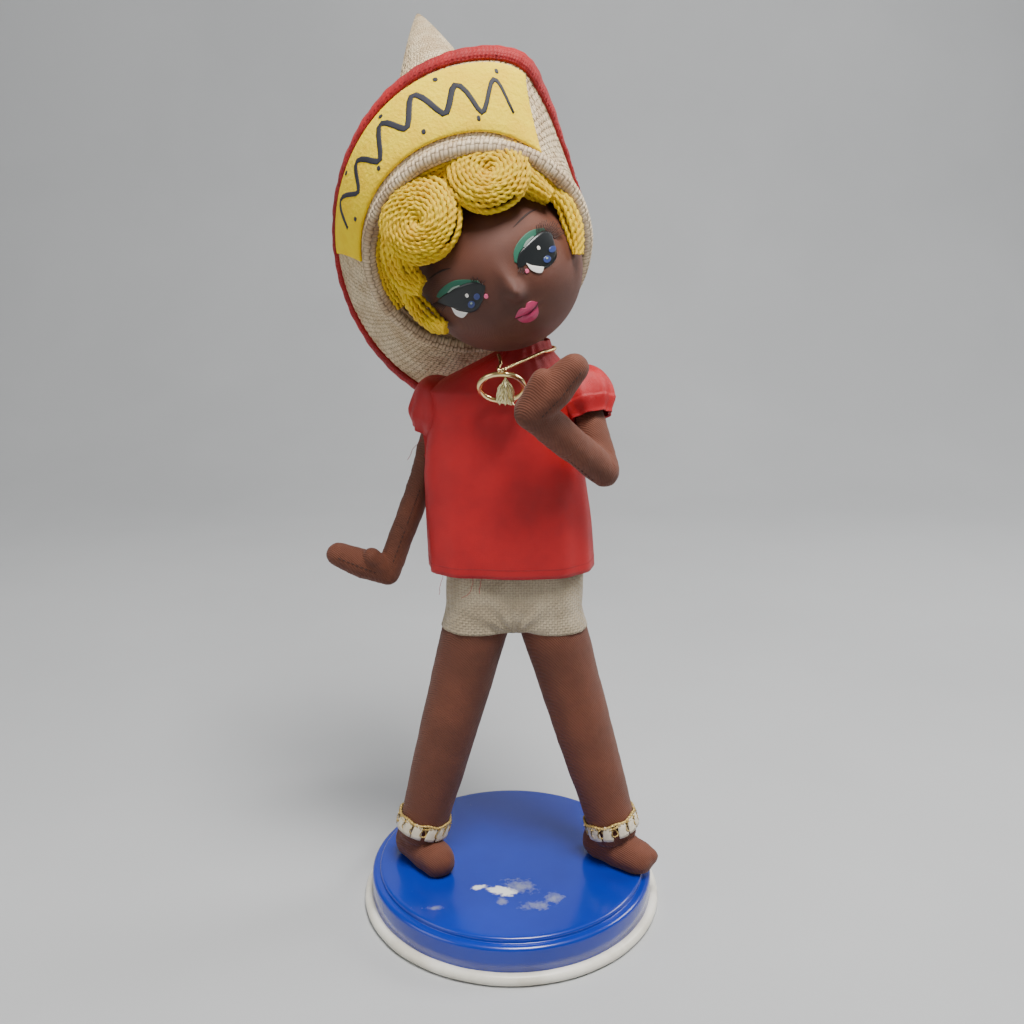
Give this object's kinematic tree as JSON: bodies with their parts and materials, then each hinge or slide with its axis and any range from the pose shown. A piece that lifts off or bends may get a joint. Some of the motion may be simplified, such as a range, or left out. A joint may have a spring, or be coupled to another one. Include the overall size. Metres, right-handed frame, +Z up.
{
  "type": "souvenir pose doll",
  "caption": "Stuffed cloth figurine with bending wire limbs, straw hat and satin blouse, standing on a round tin stand.",
  "frame": {"origin": "middle of the stand's underside", "axes": "+Z up, +X to the right seen from the front, +Y to the back"},
  "size_m": [0.12, 0.11, 0.3159],
  "materials": {
    "blue_enamel": "glossy enamel on tin",
    "white_enamel": "white enamel on rolled tin",
    "card": "bare greyboard",
    "pine": "raw softwood",
    "steel_wire": "drawn wire",
    "stockinette": "brown cotton stockinette, matt",
    "face_cloth": "fine pressed cloth with painted features",
    "wadding": "cotton wadding in a calico bag",
    "linen": "plain linen weave",
    "satin": "soft acetate satin",
    "braid": "looped braid with gilt thread",
    "gilt": "thin gilt",
    "wool": "plied wool",
    "straw": "woven raffia cloth",
    "binding_tape": "folded cotton tape",
    "felt": "wool felt"
  },
  "bodies": {
    "stand": {"base_cap": "blue_enamel", "rim_beading": "white_enamel", "base_card": "card", "anchor_block": "pine", "right_leg_wire": "steel_wire", "left_leg_wire": "steel_wire", "right_leg": "stockinette", "left_leg": "stockinette", "right_foot": "stockinette", "left_foot": "stockinette", "right_anklet": "braid", "left_anklet": "braid", "hip_pad": "wadding", "shorts": "linen"},
    "torso": {"torso_pad": "wadding", "blouse": "satin", "spine_wire": "steel_wire", "shoulder_wire": "steel_wire", "neck_cord": "gilt"},
    "necklace": {"pendant_cord": "gilt", "pendant_ring": "gilt", "pendant_tassel": "gilt"},
    "right_upper_arm": {"right_upper_arm": "stockinette", "right_sleeve": "satin", "right_upper_wire": "steel_wire"},
    "right_forearm": {"right_forearm": "stockinette", "right_fore_wire": "steel_wire"},
    "right_hand": {"right_hand": "stockinette"},
    "left_upper_arm": {"left_upper_arm": "stockinette", "left_sleeve": "satin", "left_upper_wire": "steel_wire"},
    "left_forearm": {"left_forearm": "stockinette", "left_fore_wire": "steel_wire"},
    "left_hand": {"left_hand": "stockinette"},
    "neck_swivel": {"neck_swivel": "pine"},
    "head": {"neck": "stockinette", "head_core": "wadding", "face_mask": "face_cloth", "hair_curls": "wool", "hair_locks": "wool", "hat_crown": "straw", "hat_brim": "straw", "hat_binding": "binding_tape", "hat_patch": "felt"}
  },
  "joints": [
    {"name": "waist_lean", "type": "hinge", "parent": "stand", "child": "torso", "pos_m": [0, 0, 0.141], "axis": [0, 1, 0], "range_deg": [-4, 4]},
    {"name": "right_shoulder", "type": "hinge", "parent": "torso", "child": "right_upper_arm", "pos_m": [-0.024, 0.003, 0.185], "axis": [0, 1, 0], "range_deg": [0, 50]},
    {"name": "right_elbow", "type": "hinge", "parent": "right_upper_arm", "child": "right_forearm", "pos_m": [-0.0309, 0.00793, 0.15937], "axis": [-0.6, 0.8, 0], "range_deg": [0, 36]},
    {"name": "right_wrist", "type": "hinge", "parent": "right_forearm", "child": "right_hand", "pos_m": [-0.044, 0.00688, 0.12478], "axis": [0.1597, -0.9867, -0.0306], "range_deg": [0, 55]},
    {"name": "left_shoulder", "type": "hinge", "parent": "torso", "child": "left_upper_arm", "pos_m": [0.024, -0.001, 0.19], "axis": [0, -1, 0], "range_deg": [0, 45]},
    {"name": "left_elbow", "type": "hinge", "parent": "left_upper_arm", "child": "left_forearm", "pos_m": [0.03029, -0.01357, 0.16695], "axis": [0.7625, -0.4575, 0.4575], "range_deg": [0, 70]},
    {"name": "left_wrist", "type": "hinge", "parent": "left_forearm", "child": "left_hand", "pos_m": [0.0065, -0.03049, 0.18968], "axis": [0.2508, -0.8837, -0.3952], "range_deg": [0, 55]},
    {"name": "head_turn", "type": "hinge", "parent": "torso", "child": "neck_swivel", "pos_m": [0.005, -0.001, 0.207], "axis": [0, 0, 1], "range_deg": [-15, 15]},
    {"name": "head_tilt", "type": "hinge", "parent": "neck_swivel", "child": "head", "pos_m": [0.005, -0.001, 0.207], "axis": [0, 1, 0], "range_deg": [0, 30]},
    {"name": "pendant_swing", "type": "hinge", "parent": "torso", "child": "necklace", "pos_m": [0.0035, -0.0105, 0.2052], "axis": [-1, 0, 0], "range_deg": [0, 20]}
  ]
}
